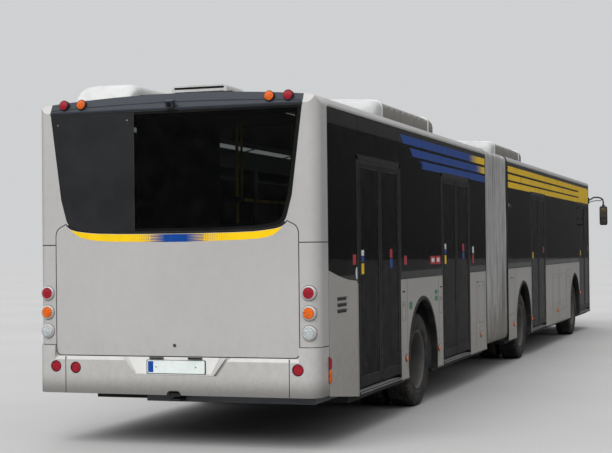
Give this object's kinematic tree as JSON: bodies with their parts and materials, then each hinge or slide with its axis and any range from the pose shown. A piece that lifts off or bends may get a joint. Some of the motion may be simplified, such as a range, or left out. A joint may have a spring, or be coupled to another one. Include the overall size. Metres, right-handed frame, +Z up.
{
  "type": "articulated bus",
  "caption": "Long low-floor city bus in two sections hinged at a pleated bellows, with steered front wheels, inward swinging doors and a lifting engine lid.",
  "frame": {"origin": "centre of the footprint on the road, halfway between rear bumper and the mirrors' front edge", "axes": "+X forward along the straightened bus, +Y to its left, +Z up"},
  "size_m": [18.3, 3.172, 3.1649],
  "materials": {
    "body_silver": "warm silver metallic",
    "tinted_glass": "dark tinted",
    "floor_dark": "matt",
    "lamp_lens": "clear lens",
    "black_plastic": "satin",
    "grey_plastic": "grained",
    "chassis_black": "painted black",
    "cast_metal": "rough",
    "seat_fabric": "woven",
    "handrail_yellow": "powder coated",
    "roof_unit_white": "satin moulded",
    "bellows_fabric": "coated, pleated",
    "door_black": "satin black",
    "tyre_rubber": "matt",
    "rim_grey": "dull grey"
  },
  "bodies": {
    "front_section": {"front_left_wall": "body_silver", "front_right_wall": "body_silver", "front_roof": "body_silver", "front_floor": "floor_dark", "front_mask": "body_silver", "front_windows": "tinted_glass", "headlamps": "lamp_lens", "mirrors": "black_plastic", "front_section_axles": "chassis_black", "driver_cab": "grey_plastic", "front_seats": "seat_fabric", "front_handrails": "handrail_yellow", "front_roof_unit": "roof_unit_white", "turntable_front": "chassis_black"},
    "rear_section": {"rear_left_wall": "body_silver", "rear_right_wall": "body_silver", "rear_roof": "body_silver", "rear_floor": "floor_dark", "rear_end_frame": "body_silver", "rear_windows": "tinted_glass", "rear_bumper": "body_silver", "tail_lamps": "lamp_lens", "drive_axle": "chassis_black", "engine": "cast_metal", "rear_seats": "seat_fabric", "rear_handrails": "handrail_yellow", "rear_roof_units": "roof_unit_white", "turntable_rear": "chassis_black", "bellows": "bellows_fabric"},
    "engine_lid": {"engine_lid": "body_silver"},
    "steering_knuckle_left": {"steering_knuckle_left": "chassis_black"},
    "steering_knuckle_right": {"steering_knuckle_right": "chassis_black"},
    "front_left_wheel": {"front_left_tyre": "tyre_rubber", "front_left_rim": "rim_grey"},
    "front_right_wheel": {"front_right_tyre": "tyre_rubber", "front_right_rim": "rim_grey"},
    "middle_left_wheels": {"middle_left_tyres": "tyre_rubber", "middle_left_rim": "rim_grey"},
    "middle_right_wheels": {"middle_right_tyres": "tyre_rubber", "middle_right_rim": "rim_grey"},
    "drive_left_wheels": {"drive_left_tyres": "tyre_rubber", "drive_left_rim": "rim_grey"},
    "drive_right_wheels": {"drive_right_tyres": "tyre_rubber", "drive_right_rim": "rim_grey"},
    "door_1_rear_post": {"door_1_rear_post": "door_black"},
    "door_1_rear_leaf": {"door_1_rear_leaf": "door_black"},
    "door_1_front_post": {"door_1_front_post": "door_black"},
    "door_1_front_leaf": {"door_1_front_leaf": "door_black"},
    "door_2_rear_post": {"door_2_rear_post": "door_black"},
    "door_2_rear_leaf": {"door_2_rear_leaf": "door_black"},
    "door_2_front_post": {"door_2_front_post": "door_black"},
    "door_2_front_leaf": {"door_2_front_leaf": "door_black"},
    "door_3_rear_post": {"door_3_rear_post": "door_black"},
    "door_3_rear_leaf": {"door_3_rear_leaf": "door_black"},
    "door_3_front_post": {"door_3_front_post": "door_black"},
    "door_3_front_leaf": {"door_3_front_leaf": "door_black"},
    "door_4_rear_post": {"door_4_rear_post": "door_black"},
    "door_4_rear_leaf": {"door_4_rear_leaf": "door_black"},
    "door_4_front_post": {"door_4_front_post": "door_black"},
    "door_4_front_leaf": {"door_4_front_leaf": "door_black"}
  },
  "joints": [
    {"name": "articulation", "type": "hinge", "parent": "front_section", "child": "rear_section", "pos_m": [-1.418, 0, 0.25], "axis": [0, 0, 1], "range_deg": [-50, 50], "deforming": ["bellows"]},
    {"name": "steering_left", "type": "hinge", "parent": "front_section", "child": "steering_knuckle_left", "pos_m": [6.3, 1, 0.48], "axis": [0, 0, 1], "range_deg": [-45, 45]},
    {"name": "steering_right", "type": "hinge", "parent": "front_section", "child": "steering_knuckle_right", "pos_m": [6.3, -1, 0.48], "axis": [0, 0, 1], "range_deg": [-45, 45]},
    {"name": "front_left_spin", "type": "hinge", "parent": "steering_knuckle_left", "child": "front_left_wheel", "pos_m": [6.3, 1.087, 0.48], "axis": [0, 1, 0], "continuous": true},
    {"name": "front_right_spin", "type": "hinge", "parent": "steering_knuckle_right", "child": "front_right_wheel", "pos_m": [6.3, -1.087, 0.48], "axis": [0, 1, 0], "continuous": true},
    {"name": "middle_left_spin", "type": "hinge", "parent": "front_section", "child": "middle_left_wheels", "pos_m": [0.65, 1.087, 0.48], "axis": [0, 1, 0], "continuous": true},
    {"name": "middle_right_spin", "type": "hinge", "parent": "front_section", "child": "middle_right_wheels", "pos_m": [0.65, -1.087, 0.48], "axis": [0, 1, 0], "continuous": true},
    {"name": "drive_left_spin", "type": "hinge", "parent": "rear_section", "child": "drive_left_wheels", "pos_m": [-5.6, 1.087, 0.48], "axis": [0, 1, 0], "continuous": true},
    {"name": "drive_right_spin", "type": "hinge", "parent": "rear_section", "child": "drive_right_wheels", "pos_m": [-5.6, -1.087, 0.48], "axis": [0, 1, 0], "continuous": true},
    {"name": "engine_lid_hinge", "type": "hinge", "parent": "rear_section", "child": "engine_lid", "pos_m": [-9.13, 0, 1.895], "axis": [0, 1, 0], "range_deg": [0, 80]},
    {"name": "door_1_rear_post_turn", "type": "hinge", "parent": "front_section", "child": "door_1_rear_post", "pos_m": [6.992, -1.19, 1.4], "axis": [0, 0, 1], "range_deg": [0, 77]},
    {"name": "door_1_rear_leaf_turn", "type": "hinge", "parent": "door_1_rear_post", "child": "door_1_rear_leaf", "pos_m": [7.314, -1.19, 1.4], "axis": [0, 0, 1], "range_deg": [-154, 0]},
    {"name": "door_1_front_post_turn", "type": "hinge", "parent": "front_section", "child": "door_1_front_post", "pos_m": [8.468, -1.19, 1.4], "axis": [0, 0, -1], "range_deg": [0, 77]},
    {"name": "door_1_front_leaf_turn", "type": "hinge", "parent": "door_1_front_post", "child": "door_1_front_leaf", "pos_m": [8.146, -1.19, 1.4], "axis": [0, 0, -1], "range_deg": [-154, 0]},
    {"name": "door_2_rear_post_turn", "type": "hinge", "parent": "front_section", "child": "door_2_rear_post", "pos_m": [1.37, -1.19, 1.4], "axis": [0, 0, 1], "range_deg": [0, 77]},
    {"name": "door_2_rear_leaf_turn", "type": "hinge", "parent": "door_2_rear_post", "child": "door_2_rear_leaf", "pos_m": [1.673, -1.19, 1.4], "axis": [0, 0, 1], "range_deg": [-154, 0]},
    {"name": "door_2_front_post_turn", "type": "hinge", "parent": "front_section", "child": "door_2_front_post", "pos_m": [2.77, -1.19, 1.4], "axis": [0, 0, -1], "range_deg": [0, 77]},
    {"name": "door_2_front_leaf_turn", "type": "hinge", "parent": "door_2_front_post", "child": "door_2_front_leaf", "pos_m": [2.467, -1.19, 1.4], "axis": [0, 0, -1], "range_deg": [-154, 0]},
    {"name": "door_3_rear_post_turn", "type": "hinge", "parent": "rear_section", "child": "door_3_rear_post", "pos_m": [-4.685, -1.19, 1.4], "axis": [0, 0, 1], "range_deg": [0, 77]},
    {"name": "door_3_rear_leaf_turn", "type": "hinge", "parent": "door_3_rear_post", "child": "door_3_rear_leaf", "pos_m": [-4.3615, -1.19, 1.4], "axis": [0, 0, 1], "range_deg": [-154, 0]},
    {"name": "door_3_front_post_turn", "type": "hinge", "parent": "rear_section", "child": "door_3_front_post", "pos_m": [-3.203, -1.19, 1.4], "axis": [0, 0, -1], "range_deg": [0, 77]},
    {"name": "door_3_front_leaf_turn", "type": "hinge", "parent": "door_3_front_post", "child": "door_3_front_leaf", "pos_m": [-3.5265, -1.19, 1.4], "axis": [0, 0, -1], "range_deg": [-154, 0]},
    {"name": "door_4_rear_post_turn", "type": "hinge", "parent": "rear_section", "child": "door_4_rear_post", "pos_m": [-8.002, -1.19, 1.4], "axis": [0, 0, 1], "range_deg": [0, 77]},
    {"name": "door_4_rear_leaf_turn", "type": "hinge", "parent": "door_4_rear_post", "child": "door_4_rear_leaf", "pos_m": [-7.678, -1.19, 1.4], "axis": [0, 0, 1], "range_deg": [-154, 0]},
    {"name": "door_4_front_post_turn", "type": "hinge", "parent": "rear_section", "child": "door_4_front_post", "pos_m": [-6.518, -1.19, 1.4], "axis": [0, 0, -1], "range_deg": [0, 77]},
    {"name": "door_4_front_leaf_turn", "type": "hinge", "parent": "door_4_front_post", "child": "door_4_front_leaf", "pos_m": [-6.842, -1.19, 1.4], "axis": [0, 0, -1], "range_deg": [-154, 0]}
  ],
  "couplings": [
    {"joint": "steering_right", "follows": "steering_left", "ratio": 1},
    {"joint": "door_1_rear_leaf_turn", "follows": "door_1_rear_post_turn", "ratio": -2},
    {"joint": "door_1_front_post_turn", "follows": "door_1_rear_post_turn", "ratio": 1},
    {"joint": "door_1_front_leaf_turn", "follows": "door_1_rear_post_turn", "ratio": -2},
    {"joint": "door_2_rear_leaf_turn", "follows": "door_2_rear_post_turn", "ratio": -2},
    {"joint": "door_2_front_post_turn", "follows": "door_2_rear_post_turn", "ratio": 1},
    {"joint": "door_2_front_leaf_turn", "follows": "door_2_rear_post_turn", "ratio": -2},
    {"joint": "door_3_rear_leaf_turn", "follows": "door_3_rear_post_turn", "ratio": -2},
    {"joint": "door_3_front_post_turn", "follows": "door_3_rear_post_turn", "ratio": 1},
    {"joint": "door_3_front_leaf_turn", "follows": "door_3_rear_post_turn", "ratio": -2},
    {"joint": "door_4_rear_leaf_turn", "follows": "door_4_rear_post_turn", "ratio": -2},
    {"joint": "door_4_front_post_turn", "follows": "door_4_rear_post_turn", "ratio": 1},
    {"joint": "door_4_front_leaf_turn", "follows": "door_4_rear_post_turn", "ratio": -2}
  ]
}
